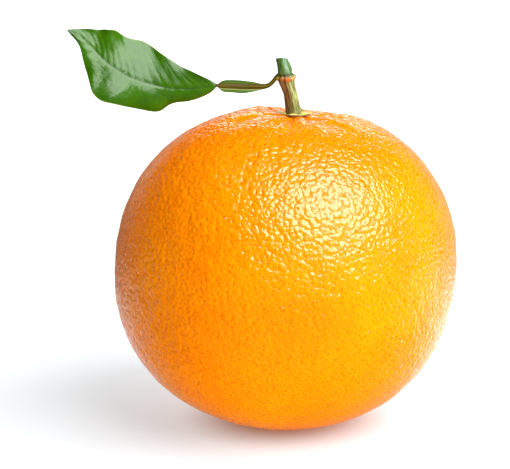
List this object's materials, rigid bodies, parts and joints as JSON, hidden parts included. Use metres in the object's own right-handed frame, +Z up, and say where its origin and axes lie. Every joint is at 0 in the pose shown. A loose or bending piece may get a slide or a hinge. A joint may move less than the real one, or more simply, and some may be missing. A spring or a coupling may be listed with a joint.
{
  "type": "orange with twig and leaf",
  "caption": "Round fresh citrus fruit with a star-shaped calyx, a short cut twig and a leaf on a winged stalk, resting on a small flat spot.",
  "frame": {"origin": "middle of the flat spot on the underside of the fruit, where it rests", "axes": "+Z up, -X towards the leaf tip, -Y the side that the leaf's glossy face turns to"},
  "size_m": [0.0934, 0.083, 0.0976],
  "materials": {
    "peel": "waxy pitted orange peel, semi-gloss",
    "sepal": "dry pale green sepal with brown edges, matt",
    "twig": "young bark, brown below and green above, streaked",
    "petiole_green": "smooth green stalk with a brown rib",
    "leaf_green": "glossy dark green leaf with fine veins"
  },
  "bodies": {
    "root": {"fruit": "peel", "calyx": "sepal", "stem": "twig", "petiole": "petiole_green", "leaf_blade": "leaf_green"}
  },
  "joints": []
}
